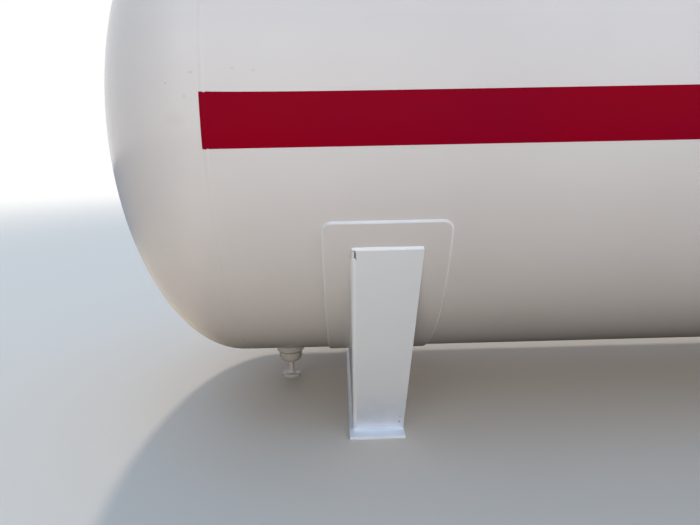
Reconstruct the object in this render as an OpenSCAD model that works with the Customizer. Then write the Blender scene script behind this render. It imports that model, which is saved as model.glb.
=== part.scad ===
// Horizontal pressure tank on two welded saddles.
// X runs along the tank, Y across it and Z up. The origin is on the floor, under the middle.

/* [Shell and heads] */
// Inside diameter of the shell
shell_inner_d = 2400; // [1800:50:2800]
// Thickness of the shell and head plate
shell_wall = 14; // [10:1:24]
// Length of each of the three shell courses
course_len = 2500; // [2200:50:3000]
// Ratio of a head's radius to its dished depth
head_ratio = 2; // [1.8:0.1:2.4]
// Straight flange between a head's dished part and its weld
head_flange = 50; // [25:5:80]

/* [Welds] */
// Width of a girth weld's bead
weld_w = 18; // [12:1:30]
// Height of a girth weld's bead over the plate
weld_h = 2; // [1:0.5:4]

/* [Stripe] */
// Height of the painted stripe along each side
stripe_h = 190; // [120:5:300]
// Thickness of the stripe's film
stripe_t = 1; // [0.5:0.5:2]

/* [Saddles] */
// Clear height between the floor and the shell's underside
shell_clear = 295; // [240:5:400]
// Distance from a head's weld to its saddle's middle
saddle_offset = 650; // [560:10:900]
// Width of a saddle at the top of its end ribs, over web and rib
saddle_top_w = 283; // [260:1:340]
// Width of a saddle at the foot of its ribs, over web and rib
saddle_foot_w = 256; // [200:1:260]
// How far web and ribs sit from the wear plate's middle, away from the head
saddle_shift = 2.5; // [0:0.5:5]
// Half of the distance between the end ribs' feet
rib_foot_y = 660; // [560:1:700]
// How far an end rib runs on above the line where it touches the wear plate
rib_reach = 30; // [10:5:40]
// Thickness of the web plate
web_t = 12; // [8:1:20]
// Thickness of the ribs
rib_t = 10; // [8:1:20]
// Distance between the inner ribs
rib_pitch = 267; // [200:1:290]
// Length of a base plate, across the tank
base_len = 1485; // [1450:5:1800]
// Thickness of a base plate
base_t = 14; // [10:1:25]
// How far a base plate stands out beyond the web
base_web_lip = 18; // [5:1:40]
// How far a base plate stands out beyond the ribs' feet
base_rib_lip = 4; // [4:1:40]
// Width of a wear plate, along the tank
wear_w = 500; // [400:5:600]
// Thickness of a wear plate
wear_t = 10; // [6:1:16]
// Angle from the shell's lowest line to the top edge of a wear plate
wear_angle = 72; // [70:1:80]
// Radius of a wear plate's corners
wear_corner_r = 40; // [20:5:80]
// Diameter of the anchor holes
anchor_d = 28; // [20:1:34]
// Distance between the two anchor holes of a saddle
anchor_pitch = 1070; // [900:10:1160]
// Length of the sliding saddle's slots, along the tank
slot_len = 60; // [40:5:90]

/* [Drain] */
// Distance from the left head's weld to the drain
drain_offset = 143; // [120:1:300]
// Height of the drain's main joint above the floor
drain_joint_z = 203; // [180:1:215]
// Height of the drain's outlet above the floor
drain_outlet_z = 38; // [20:1:60]
// Bolt circle of the drain's joint
drain_pcd = 110; // [106:1:112]
// Diameter of the bolt holes in the drain's upper flange
drain_hole_d = 14; // [10:1:14]
// Diameter of the raised faces at the drain's joint
drain_face_d = 88; // [80:1:90]
// Diameter of the reducer's body at the joint
reducer_top_d = 140; // [125:1:150]
// Diameter of the reducer's body at its lower end
reducer_low_d = 122; // [100:1:124]
// Height of the reducer's body
reducer_body_h = 50; // [40:1:60]
// Diameter of the tapped holes in the reducer's body
reducer_tap_d = 10; // [8:1:12]
// Depth of the tapped holes
reducer_tap_depth = 24; // [16:1:30]
// Outside diameter of the outlet pipe
outlet_pipe_d = 34; // [28:1:40]
// Bore of the outlet pipe
outlet_bore_d = 26; // [16:1:26]
// Diameter of the outlet flange
outlet_flange_d = 115; // [105:5:125]
// Thickness of the outlet flange
outlet_flange_t = 16; // [12:1:22]
// Bolt circle of the outlet flange
outlet_pcd = 85; // [80:1:90]
// Diameter of the outlet flange's bolt holes
outlet_hole_d = 14; // [10:1:16]

/* [Nozzles] */
// Outside diameter of a nozzle's pipe
nozzle_d = 57; // [48:1:64]
// Wall of a nozzle's pipe
nozzle_wall = 5; // [3:1:8]
// Diameter of a nozzle's flange
flange_d = 165; // [160:5:185]
// Thickness of a nozzle's flange
flange_t = 20; // [16:1:26]
// Bolt circle of a nozzle's flange
flange_pcd = 125; // [118:1:130]
// Diameter of a nozzle flange's bolt holes
flange_hole_d = 18; // [12:1:20]
// Diameter of a nozzle flange's raised face
face_d = 102; // [80:1:102]
// Height of a flange's raised face
face_h = 2; // [1:1:4]
// Thickness of the gasket in a joint
gasket_t = 3; // [2:1:5]
// Diameter of a nozzle flange's hub where it meets the flange
hub_d = 76; // [66:1:84]
// Length of the hub, from the pipe to the flange
hub_h = 28; // [15:1:40]
// Thickness of a blind flange
blind_t = 20; // [14:1:30]
// Height of a top nozzle's joint above the shell
nozzle_rise = 150; // [120:5:220]
// Distance between the top nozzles
nozzle_pitch = 280; // [240:5:290]
// Distance from a course's weld to the first top nozzle beside it
nozzle_weld_gap = 300; // [150:5:310]

/* [Manway] */
// Distance from the middle course's right weld to the manway's middle
manway_weld_gap = 700; // [500:5:710]
// Outside diameter of the manway's neck
manway_d = 530; // [480:5:560]
// Wall of the manway's neck
manway_wall = 12; // [8:1:20]
// Height of the manway's joint above the shell
manway_rise = 220; // [200:5:300]
// Diameter of the manway's flange and cover
manway_flange_d = 715; // [690:5:760]
// Thickness of the manway's flange
manway_flange_t = 44; // [30:1:60]
// Thickness of the manway's cover
manway_cover_t = 46; // [30:1:60]
// Bolt circle of the manway
manway_pcd = 650; // [625:5:655]
// Diameter of the manway's bolt holes
manway_hole_d = 33; // [20:1:34]
// Number of the manway's bolts
manway_bolts = 20; // [12:4:24]
// Diameter of the manway's raised faces
manway_face_d = 600; // [560:5:600]
// Diameter of the reinforcing pad round the manway
pad_d = 860; // [800:10:900]
// Thickness of the reinforcing pad
pad_t = 14; // [8:1:20]
// Diameter of a cover handle's rod
handle_d = 16; // [12:1:22]
// Length of a cover handle between its legs
handle_len = 160; // [120:5:200]
// Height of a cover handle
handle_h = 60; // [50:5:90]

/* [Manway davit] */
// Diameter of the davit's bent bar
davit_d = 42; // [36:1:51]
// Running clearance round the bar in its sleeve
davit_play = 1; // [0.5:0.5:2]
// Wall of the davit's sleeve
davit_wall = 8; // [5:1:12]
// Length of the davit's sleeve
davit_sleeve_h = 150; // [130:5:160]
// Gap between the sleeve and the rim of the manway's flange
davit_gap = 12; // [6:1:40]
// Thickness of the plate that carries the sleeve
davit_plate_t = 12; // [8:1:20]
// Radius of the bar's bend, at its middle line
davit_bend_r = 120; // [80:5:150]
// Height of the davit's arm above the cover
davit_rise = 200; // [190:5:260]
// Radius of the two linked rings, at their middle line
ring_r = 28; // [24:1:36]
// Diameter of the rings' rod
ring_rod_d = 16; // [12:1:18]
// Height of the shank under the cover's ring
ring_shank_h = 18; // [14:1:24]

/* [Lifting lugs] */
// Width of a lifting lug at its foot
lug_w = 240; // [180:10:300]
// Thickness of a lifting lug
lug_t = 25; // [16:1:40]
// Height of a lifting lug's eye above the shell
lug_eye_h = 110; // [100:5:160]
// Radius of a lifting lug round its eye
lug_r = 65; // [60:5:80]
// Diameter of a lifting lug's eye
lug_eye_d = 60; // [40:5:70]

/* [Hidden] */
$fn = 64;

// Steps round the large circles of shell, heads and girth welds
large_fn = 240;

// Overlap that lets a cutting solid run past the face that it cuts
past = 1;
// Meridian steps of a head's profile
head_steps = 40;
// Number of inner ribs of a saddle
inner_ribs = 4;
// Number of bolts of a nozzle flange and of the outlet flange
small_bolts = 4;
// Clearance between two linked rings at rest
ring_play = 0.3;

paint_white = [0.82, 0.83, 0.84];
paint_grey = [0.74, 0.75, 0.77];
stripe_red = [0.52, 0.02, 0.1];
steel_grey = [0.6, 0.61, 0.63];
gasket_grey = [0.2, 0.2, 0.21];

inner_r = shell_inner_d / 2;
outer_r = inner_r + shell_wall;
axis_z = shell_clear + outer_r;
shell_half = course_len * 3 / 2;
head_depth = inner_r / head_ratio;
top_z = axis_z + outer_r;

wear_r = outer_r + wear_t;
wear_top_z = axis_z - wear_r * cos(wear_angle);
saddle_x = shell_half - saddle_offset;
web_x = saddle_shift - saddle_top_w / 2;
base_x = web_x - base_web_lip;
base_w = base_web_lip + saddle_foot_w + base_rib_lip;

// Line of an end rib's inner face: from its foot, it touches the wear plate at touch_angle
foot_drop = axis_z - base_t;
foot_dist = norm([rib_foot_y, foot_drop]);
touch_angle = atan(rib_foot_y / foot_drop) + acos(wear_r / foot_dist);
rib_run = sqrt(foot_dist * foot_dist - wear_r * wear_r) + rib_reach;
rib_up = [cos(touch_angle), sin(touch_angle)];
rib_out = [sin(touch_angle), -cos(touch_angle)];
foot_in = [rib_foot_y, base_t];
top_in = foot_in + rib_run * rib_up;
top_out = top_in + rib_t * rib_out;
foot_out = [rib_foot_y + rib_t / sin(touch_angle), base_t];
anchor_x = web_x + web_t + (saddle_foot_w - web_t) / 2;

drain_x = -shell_half + drain_offset;
nozzle_bore_d = nozzle_d - 2 * nozzle_wall;
nozzle_joint_z = top_z + nozzle_rise;
gauge_x = -course_len / 2 + nozzle_weld_gap;
liquid_x = gauge_x + nozzle_pitch;
vapour_x = liquid_x + nozzle_pitch;
relief_x = course_len / 2 + nozzle_weld_gap;
reducer_top_z = drain_joint_z - gasket_t;
manway_x = course_len / 2 - manway_weld_gap;
manway_joint_z = top_z + manway_rise;
manway_bore_d = manway_d - 2 * manway_wall;
cover_low_z = manway_joint_z + gasket_t;
cover_top_z = cover_low_z + manway_cover_t;

// The davit stands behind the manway, and its arm reaches the cover's middle
davit_bore_r = davit_d / 2 + davit_play;
davit_sleeve_r = davit_bore_r + davit_wall;
davit_y = manway_flange_d / 2 + davit_gap + davit_sleeve_r;
davit_sleeve_z = manway_joint_z - davit_sleeve_h;
davit_arm_z = cover_top_z + davit_rise;
lower_ring_z = cover_top_z + ring_shank_h + ring_r;
upper_ring_z = lower_ring_z + 2 * ring_r - ring_rod_d - ring_play;

// Solid cylinder along X, from x0 over the length len
module bar_x(r, x0, len) {
  translate([x0, 0, axis_z])
    rotate([0, 90, 0])
      cylinder(r = r, h = len, $fn = large_fn);
}

// Extrudes a drawing of Y and Z along X, from x0 over the length len
module along_x(x0, len) {
  translate([x0, 0, 0])
    rotate([90, 0, 90])
      linear_extrude(len)
        children();
}

// Extrudes a drawing of X and Z along Y, from y0 over the length len
module along_y(y0, len) {
  translate([0, y0 + len, 0])
    rotate([90, 0, 0])
      linear_extrude(len)
        children();
}

// Round holes on a bolt circle
module bolt_holes(pcd, count, d, z0, len) {
  for (i = [0 : count - 1])
    rotate(360 * (i + 0.5) / count)
      translate([pcd / 2, 0, z0])
        cylinder(d = d, h = len, $fn = 32);
}

// Every opening through the shell
module shell_bores() {
  translate([drain_x, 0, 0])
    cylinder(d = nozzle_bore_d, h = axis_z);
  for (x = [vapour_x, liquid_x, gauge_x, relief_x])
    translate([x, 0, axis_z])
      cylinder(d = nozzle_bore_d, h = outer_r + past);
  translate([manway_x, 0, axis_z])
    cylinder(d = manway_bore_d, h = outer_r + past);
}

// One rolled course of the shell, open at both ends
module shell_course(x0) {
  color(paint_white)
    difference() {
      bar_x(outer_r, x0, course_len);
      bar_x(inner_r, x0 - past, course_len + 2 * past);
      shell_bores();
    }
}

// Point of the head's inner ellipse, moved out by t along its normal
function head_point(a, t) =
  let (n = [head_depth * cos(a), inner_r * sin(a)])
  [inner_r * cos(a), head_depth * sin(a)] + t * n / norm(n);

// Dished head of constant wall, with its flange's open edge on the plane z = 0
module head_solid() {
  outside = [for (i = [0 : head_steps]) head_point(90 * i / head_steps, shell_wall)];
  inside = [for (i = [head_steps : -1 : 0]) head_point(90 * i / head_steps, 0)];
  translate([0, 0, head_flange])
    rotate_extrude($fn = large_fn)
      polygon(concat([[outer_r, -head_flange]], outside, inside, [[inner_r, -head_flange]]));
}

module head(side) {
  color(paint_white)
    translate([side * shell_half, 0, axis_z])
      rotate([0, side * 90, 0])
        head_solid();
}

// Low bead of a girth weld, standing on the plate
module girth_weld(x) {
  color(paint_white)
    translate([x, 0, axis_z])
      rotate([0, 90, 0])
        rotate_extrude($fn = large_fn)
          translate([outer_r, 0])
            polygon([
              [0, -weld_w / 2],
              [weld_h * 0.7, -weld_w / 4],
              [weld_h, 0],
              [weld_h * 0.7, weld_w / 4],
              [0, weld_w / 2]
            ]);
}

// Painted stripe on the equator, between the beads of the girth welds
module stripe(side) {
  len = course_len - weld_w;
  color(stripe_red)
    for (i = [-1 : 1])
      intersection() {
        difference() {
          bar_x(outer_r + stripe_t, i * course_len - len / 2, len);
          bar_x(outer_r, i * course_len - len / 2 - past, len + 2 * past);
        }
        translate([i * course_len - len, side < 0 ? -2 * outer_r : 0, axis_z - stripe_h / 2])
          cube([2 * len, 2 * outer_r, stripe_h]);
      }
}

// Places a saddle: its web faces the nearer head
module saddle_place(side) {
  translate([side * saddle_x, 0, 0])
    mirror([side > 0 ? 1 : 0, 0, 0])
      children();
}

// Anchor hole, drawn out along X to a slot where run is over 0
module anchor_hole(run) {
  translate([anchor_x, 0, -past])
    linear_extrude(base_t + 2 * past)
      union() {
        for (x = [-run / 2, run / 2])
          translate([x, 0])
            circle(d = anchor_d);
        if (run > 0)
          square([run, anchor_d], center = true);
      }
}

module base_plate(side, run) {
  color(paint_grey)
    saddle_place(side)
      difference() {
        translate([base_x, -base_len / 2, 0])
          cube([base_w, base_len, base_t]);
        for (y = [-anchor_pitch / 2, anchor_pitch / 2])
          translate([0, y, 0])
            anchor_hole(run);
      }
}

// Upright plate across the tank, cut out round the wear plate
module web(side) {
  color(paint_grey)
    saddle_place(side)
      difference() {
        along_x(web_x, web_t)
          polygon([
            [-foot_out.x, foot_out.y],
            [foot_out.x, foot_out.y],
            [top_out.x, top_out.y],
            [top_in.x, top_in.y],
            [-top_in.x, top_in.y],
            [-top_out.x, top_out.y]
          ]);
        bar_x(wear_r, web_x - past, web_t + 2 * past);
      }
}

// Side view of a rib: it widens from its foot to its top
module rib_outline(top) {
  rise = top_in.y - base_t;
  widen = (saddle_top_w - saddle_foot_w) * (top - base_t) / rise;
  polygon([
    [web_x + web_t, base_t],
    [web_x + saddle_foot_w, base_t],
    [web_x + saddle_foot_w + widen, top],
    [web_x + web_t, top]
  ]);
}

// Leaning rib at one end of the web, flush with the web's edge
module end_rib(side, face) {
  color(paint_grey)
    saddle_place(side)
      mirror([0, face > 0 ? 0 : 1, 0])
        intersection() {
          along_x(web_x, saddle_top_w)
            polygon([foot_in, foot_out, top_out, top_in]);
          along_y(0, top_out.x)
            rib_outline(top_in.y);
        }
}

// Upright ribs between the end ribs, cut off under the wear plate
module inner_rib_set(side) {
  color(paint_grey)
    saddle_place(side)
      for (i = [0 : inner_ribs - 1])
        difference() {
          along_y((i - (inner_ribs - 1) / 2) * rib_pitch - rib_t / 2, rib_t)
            rib_outline(axis_z - wear_r / 2);
          bar_x(wear_r, web_x, saddle_top_w + wear_w);
        }
}

// Bent plate between the shell and the saddle, with rounded upper corners
module wear_plate(side) {
  straight_x = wear_w / 2 - wear_corner_r;
  color(paint_white)
    saddle_place(side)
      intersection() {
        difference() {
          bar_x(wear_r, -wear_w / 2, wear_w);
          bar_x(outer_r, -wear_w / 2 - past, wear_w + 2 * past);
        }
        along_y(-2 * outer_r, 4 * outer_r)
          union() {
            translate([-wear_w, 0])
              square([2 * wear_w, wear_top_z - wear_corner_r]);
            translate([-straight_x, 0])
              square([2 * straight_x, wear_top_z]);
            for (x = [-straight_x, straight_x])
              translate([x, wear_top_z - wear_corner_r])
                circle(r = wear_corner_r);
          }
      }
}

// Pipe with a tapered hub and a flange, whose raised face ends at the height joint
// It is drawn upwards from the tank's axis
module flanged_pipe(joint, face, pcd, hole_d) {
  back = joint - flange_t;
  difference() {
    union() {
      cylinder(d = nozzle_d, h = joint);
      translate([0, 0, back - hub_h])
        cylinder(d1 = nozzle_d, d2 = hub_d, h = hub_h);
      translate([0, 0, back])
        cylinder(d = flange_d, h = flange_t - face_h);
      translate([0, 0, back])
        cylinder(d = face, h = flange_t);
    }
    translate([0, 0, -past])
      cylinder(d = nozzle_bore_d, h = joint + 2 * past);
    bolt_holes(pcd, small_bolts, hole_d, back - past, flange_t + 2 * past);
  }
}

// Flat ring in a joint, inside the bolts
module gasket(outer, inner) {
  difference() {
    cylinder(d = outer, h = gasket_t);
    translate([0, 0, -past])
      cylinder(d = inner, h = gasket_t + 2 * past);
  }
}

module top_nozzle(x) {
  color(paint_white)
    difference() {
      translate([x, 0, axis_z])
        flanged_pipe(nozzle_joint_z - axis_z, face_d, flange_pcd, flange_hole_d);
      bar_x(outer_r, x - flange_d, 2 * flange_d);
    }
}

module nozzle_blind(x) {
  color(steel_grey)
    translate([x, 0, nozzle_joint_z + gasket_t])
      difference() {
        union() {
          cylinder(d = face_d, h = blind_t);
          translate([0, 0, face_h])
            cylinder(d = flange_d, h = blind_t - face_h);
        }
        bolt_holes(flange_pcd, small_bolts, flange_hole_d, -past, blind_t + 2 * past);
      }
}

module drain_neck() {
  color(paint_white)
    difference() {
      translate([drain_x, 0, axis_z])
        rotate([180, 0, 0])
          flanged_pipe(axis_z - drain_joint_z, drain_face_d, drain_pcd, drain_hole_d);
      bar_x(outer_r, drain_x - flange_d, 2 * flange_d);
    }
}

// Turned body under the drain's joint, which narrows to the outlet pipe
module drain_reducer() {
  shoulder_z = reducer_top_z - face_h;
  body_low = shoulder_z - reducer_body_h;
  shoulder = reducer_low_d / 2 - outlet_pipe_d / 2;
  edge = shoulder / 4;
  flange_top = drain_outlet_z + outlet_flange_t;
  color(paint_white)
    translate([drain_x, 0, 0])
      difference() {
        rotate_extrude()
          polygon([
            [outlet_bore_d / 2, flange_top],
            [outlet_pipe_d / 2, flange_top],
            [outlet_pipe_d / 2, body_low - edge / 2],
            [reducer_low_d / 2 - edge, body_low],
            [reducer_low_d / 2 - edge / 4, body_low + edge / 2],
            [reducer_low_d / 2, body_low + edge],
            [reducer_top_d / 2, shoulder_z],
            [drain_face_d / 2, shoulder_z],
            [drain_face_d / 2, reducer_top_z],
            [outlet_bore_d / 2, reducer_top_z]
          ]);
        bolt_holes(drain_pcd, small_bolts, reducer_tap_d, shoulder_z - reducer_tap_depth,
                   reducer_tap_depth + past);
      }
}

module drain_outlet_flange() {
  color(paint_white)
    translate([drain_x, 0, drain_outlet_z])
      difference() {
        cylinder(d = outlet_flange_d, h = outlet_flange_t);
        translate([0, 0, -past])
          cylinder(d = outlet_bore_d, h = outlet_flange_t + 2 * past);
        bolt_holes(outlet_pcd, small_bolts, outlet_hole_d, -past, outlet_flange_t + 2 * past);
      }
}

// Gaskets of the top nozzles, the drain and the manway
module gaskets() {
  color(gasket_grey) {
    for (x = [gauge_x, liquid_x, vapour_x, relief_x])
      translate([x, 0, nozzle_joint_z])
        gasket(face_d, nozzle_bore_d);
    translate([drain_x, 0, reducer_top_z])
      gasket(drain_face_d, nozzle_bore_d);
    translate([manway_x, 0, manway_joint_z])
      gasket(manway_face_d, manway_bore_d);
  }
}

// Reinforcing ring that lies on the shell round the manway's neck
module manway_pad() {
  color(paint_white)
    intersection() {
      difference() {
        bar_x(outer_r + pad_t, manway_x - pad_d, 2 * pad_d);
        bar_x(outer_r, manway_x - pad_d - past, 2 * (pad_d + past));
      }
      translate([manway_x, 0, axis_z])
        difference() {
          cylinder(d = pad_d, h = 2 * outer_r);
          cylinder(d = manway_d, h = 2 * outer_r);
        }
    }
}

module manway_neck() {
  flange_z = manway_joint_z - manway_flange_t;
  color(paint_white)
    difference() {
      translate([manway_x, 0, axis_z])
        cylinder(d = manway_d, h = flange_z - axis_z);
      translate([manway_x, 0, axis_z - past])
        cylinder(d = manway_bore_d, h = flange_z - axis_z + 2 * past);
      bar_x(outer_r, manway_x - manway_d, 2 * manway_d);
    }
}

module manway_flange() {
  color(paint_white)
    translate([manway_x, 0, manway_joint_z - manway_flange_t])
      difference() {
        union() {
          cylinder(d = manway_flange_d, h = manway_flange_t - face_h);
          cylinder(d = manway_face_d, h = manway_flange_t);
        }
        translate([0, 0, -past])
          cylinder(d = manway_bore_d, h = manway_flange_t + 2 * past);
        bolt_holes(manway_pcd, manway_bolts, manway_hole_d, -past, manway_flange_t + 2 * past);
      }
}

module manway_cover() {
  color(paint_white)
    translate([manway_x, 0, cover_low_z])
      difference() {
        union() {
          cylinder(d = manway_face_d, h = manway_cover_t);
          translate([0, 0, face_h])
            cylinder(d = manway_flange_d, h = manway_cover_t - face_h);
        }
        bolt_holes(manway_pcd, manway_bolts, manway_hole_d, -past, manway_cover_t + 2 * past);
      }
}

// Two bent rods on the cover
module manway_handles() {
  reach = manway_d / 4;
  color(steel_grey)
    for (y = [-reach, reach])
      translate([manway_x, y, cover_top_z]) {
        for (x = [-handle_len / 2, handle_len / 2])
          translate([x, 0, 0])
            cylinder(d = handle_d, h = handle_h - handle_d / 2, $fn = 24);
        translate([-handle_len / 2 - handle_d / 2, 0, handle_h - handle_d / 2])
          rotate([0, 90, 0])
            cylinder(d = handle_d, h = handle_len + handle_d, $fn = 24);
      }
}

// Sleeve for the davit's bar, carried by a plate on the manway's neck
module manway_davit_bracket() {
  plate_top = manway_joint_z - manway_flange_t - davit_wall;
  color(paint_white)
    translate([manway_x, 0, 0])
      difference() {
        union() {
          translate([0, davit_y, davit_sleeve_z])
            cylinder(r = davit_sleeve_r, h = davit_sleeve_h);
          translate([-davit_plate_t / 2, 0, davit_sleeve_z])
            cube([davit_plate_t, davit_y, plate_top - davit_sleeve_z]);
        }
        translate([0, 0, davit_sleeve_z - past])
          cylinder(d = manway_d, h = davit_sleeve_h);
        translate([0, davit_y, davit_sleeve_z - past])
          cylinder(r = davit_bore_r, h = davit_sleeve_h + 2 * past);
      }
}

// Ring of round rod that stands upright, its hole along X
module upright_ring(z) {
  translate([0, 0, z])
    rotate([0, 90, 0])
      rotate_extrude($fn = 48)
        translate([ring_r, 0])
          circle(d = ring_rod_d, $fn = 24);
}

// Bent bar that rests on the sleeve by its collar, with a hanger over the cover's middle
module manway_davit_arm() {
  foot_z = davit_sleeve_z - davit_wall;
  bend_z = davit_arm_z - davit_bend_r;
  arm_end = davit_d;
  hanger_z = upper_ring_z + ring_r;
  color(steel_grey)
    translate([manway_x, 0, 0]) {
      translate([0, davit_y, foot_z])
        cylinder(d = davit_d, h = bend_z - foot_z);
      translate([0, davit_y, manway_joint_z])
        cylinder(r = davit_sleeve_r, h = davit_wall);
      translate([0, davit_y - davit_bend_r, bend_z])
        rotate([90, 0, 90])
          rotate_extrude(angle = 90)
            translate([davit_bend_r, 0])
              circle(d = davit_d);
      translate([0, -arm_end, davit_arm_z])
        rotate([-90, 0, 0])
          cylinder(d = davit_d, h = davit_y - davit_bend_r + arm_end);
      translate([0, 0, hanger_z])
        cylinder(d = ring_rod_d, h = davit_arm_z + davit_d - hanger_z);
      upright_ring(upper_ring_z);
    }
}

// Ring on the cover, linked with the hanger's ring
module manway_cover_ring() {
  color(steel_grey)
    translate([manway_x, 0, 0])
      rotate(90) {
        translate([0, 0, cover_top_z])
          cylinder(d = 2 * ring_rod_d, h = ring_shank_h);
        upright_ring(lower_ring_z);
      }
}

// Plate with an eye, on the top line of the shell
module lifting_lug(side) {
  eye_z = top_z + lug_eye_h;
  color(paint_white)
    translate([side * saddle_x, 0, 0])
      difference() {
        along_y(-lug_t / 2, lug_t)
          difference() {
            union() {
              polygon([
                [-lug_w / 2, axis_z],
                [lug_w / 2, axis_z],
                [lug_w / 2, top_z],
                [lug_r, eye_z],
                [-lug_r, eye_z],
                [-lug_w / 2, top_z]
              ]);
              translate([0, eye_z])
                circle(r = lug_r);
            }
            translate([0, eye_z])
              circle(d = lug_eye_d);
          }
        bar_x(outer_r, -lug_w, 2 * lug_w);
      }
}

shell_course(-shell_half);  // shell_left
shell_course(-course_len / 2);  // shell_middle
shell_course(course_len / 2);  // shell_right
head(-1);  // head_left
head(1);  // head_right
girth_weld(-shell_half);  // weld_head_left
girth_weld(-course_len / 2);  // weld_course_left
girth_weld(course_len / 2);  // weld_course_right
girth_weld(shell_half);  // weld_head_right
stripe(-1);  // stripe_front
stripe(1);  // stripe_back
base_plate(-1, 0);  // left_base_plate
web(-1);  // left_web
end_rib(-1, -1);  // left_front_rib
end_rib(-1, 1);  // left_back_rib
inner_rib_set(-1);  // left_inner_ribs
wear_plate(-1);  // left_wear_plate
base_plate(1, slot_len - anchor_d);  // right_base_plate
web(1);  // right_web
end_rib(1, -1);  // right_front_rib
end_rib(1, 1);  // right_back_rib
inner_rib_set(1);  // right_inner_ribs
wear_plate(1);  // right_wear_plate
drain_neck();
drain_reducer();
drain_outlet_flange();
gaskets();
manway_pad();
manway_neck();
manway_flange();
manway_cover();
manway_handles();
manway_davit_bracket();
manway_davit_arm();
manway_cover_ring();
top_nozzle(vapour_x);  // vapour_nozzle
top_nozzle(liquid_x);  // liquid_nozzle
top_nozzle(gauge_x);  // gauge_nozzle
top_nozzle(relief_x);  // relief_nozzle
nozzle_blind(vapour_x);  // vapour_blind
nozzle_blind(liquid_x);  // liquid_blind
nozzle_blind(gauge_x);  // gauge_blind
nozzle_blind(relief_x);  // relief_blind
lifting_lug(-1);  // left_lifting_lug
lifting_lug(1);  // right_lifting_lug
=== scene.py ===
"""Looks of a horizontal welded pressure tank on two saddles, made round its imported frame.

Lengths are in metres. X runs along the tank, Y across it and Z up.
"""

import bmesh
import bpy
import numpy as np
from mathutils import Matrix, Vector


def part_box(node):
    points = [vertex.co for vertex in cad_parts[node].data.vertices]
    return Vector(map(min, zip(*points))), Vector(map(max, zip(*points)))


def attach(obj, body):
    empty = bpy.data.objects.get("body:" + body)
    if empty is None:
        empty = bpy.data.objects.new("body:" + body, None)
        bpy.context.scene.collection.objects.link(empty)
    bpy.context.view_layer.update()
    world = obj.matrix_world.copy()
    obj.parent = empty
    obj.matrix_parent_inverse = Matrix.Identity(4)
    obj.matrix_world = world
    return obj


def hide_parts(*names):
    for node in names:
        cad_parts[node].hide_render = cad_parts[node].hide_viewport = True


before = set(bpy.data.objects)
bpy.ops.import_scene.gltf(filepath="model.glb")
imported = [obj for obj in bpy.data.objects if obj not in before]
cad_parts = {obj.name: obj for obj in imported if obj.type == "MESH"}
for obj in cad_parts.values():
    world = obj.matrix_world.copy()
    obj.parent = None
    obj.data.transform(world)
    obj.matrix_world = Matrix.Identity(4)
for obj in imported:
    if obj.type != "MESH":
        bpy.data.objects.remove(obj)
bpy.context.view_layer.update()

MM = 0.001
TURN = 2 * np.pi


# Sizes that the frame gives

def box_of(node):
    """Lowest and highest corner of a CAD node."""
    return np.array(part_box(node))


COURSES = ("shell_left", "shell_middle", "shell_right")
course_low, course_high = box_of(COURSES[0])
SHELL_R = (course_high[2] - course_low[2]) / 2
AXIS_Z = (course_high[2] + course_low[2]) / 2
SEAM_X = [course_low[0]] + [box_of(node)[1][0] for node in COURSES]
HEAD_LENGTH = SEAM_X[0] - box_of("head_left")[0][0]
TOP_Z = AXIS_Z + SHELL_R
BASE_T = box_of("left_base_plate")[1][2]
STRIPE_H = 2 * (box_of("stripe_front")[1][2] - AXIS_Z)


def middle_x(node):
    """Middle of a CAD node along the tank."""
    return box_of(node)[:, 0].mean()


DRAIN_X = middle_x("drain_neck")
DRAIN_JOINT_Z, NECK_TOP_Z = (corner[2] for corner in box_of("drain_neck"))
REDUCER_TOP_Z = box_of("drain_reducer")[1][2]
OUTLET_TOP_Z = box_of("drain_outlet_flange")[1][2]
NOZZLES = ("gauge_nozzle", "liquid_nozzle", "vapour_nozzle", "relief_nozzle")
MANWAY_X = middle_x("manway_neck")
SADDLE_X = middle_x("right_wear_plate")
WEB_FRONT = box_of("left_web")[0][0] + SADDLE_X
RIB_TOP_W = np.ptp(box_of("left_front_rib")[:, 0])

# Sizes of plates and welds that the boxes don't show

WALL = 14 * MM
HEAD_FLANGE = 50 * MM
WEAR_T = 10 * MM
WEAR_W = 500 * MM
WEAR_ANGLE = np.radians(72)
WEAR_CORNER = 40 * MM
WEAR_R = SHELL_R + WEAR_T
WEB_T = 12 * MM
WEB_BACK = WEB_FRONT + WEB_T
RIB_T = 10 * MM
RIB_FOOT_Y = 660 * MM
RIB_REACH = 30 * MM
RIB_FOOT_W = 244 * MM
ROOT_GAP = 3 * MM
SLIT_H = 40 * MM
INNER_RIBS = 4
INNER_RIB_Y = 267 * MM * (np.arange(INNER_RIBS) - (INNER_RIBS - 1) / 2)
GIRTH_W = 18 * MM
GIRTH_H = 0.9 * MM
WAVE_H = 0.25 * MM
WELD_PULL = 0.7 * MM
PULL_REACH = 80 * MM
FILM = 0.45 * MM
SEAM_TURN = {"left": -128, "middle": 146, "right": -118}
FACE_R, FACE_H = 44 * MM, 2 * MM
NECK_FLANGE_T = 38 * MM
PIPE_R = 28.5 * MM
PAD_R, PAD_T = 430 * MM, 14 * MM
MANWAY_R = 265 * MM
SUNK = 0.6 * MM
PIPE_LEG, PAD_LEG, LUG_LEG = 6 * MM, 10 * MM, 9 * MM
SWELL = 0.10
LONG_SEAM_HALF = 8 * MM

# How finely shapes are drawn, and how sharp their edges stay

AROUND = 288
GIRTH_STEPS = 1300
GIRTH_LINES = 1100
TURNED_STEPS = 96
CORNER_STEPS = 4
SHARP = np.radians(35)
PLATE_EDGE = 1.5 * MM
NODE_EDGE = 1.2 * MM
WELD_STEP = 3.5 * MM
WELD_PITCH = 7 * MM
BEAD_T = np.linspace(-1, 1, 7)[None, :]
NUT_TWIST = 0.7
SMALL_CREASE = 25


# Arrays of points and faces

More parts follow.
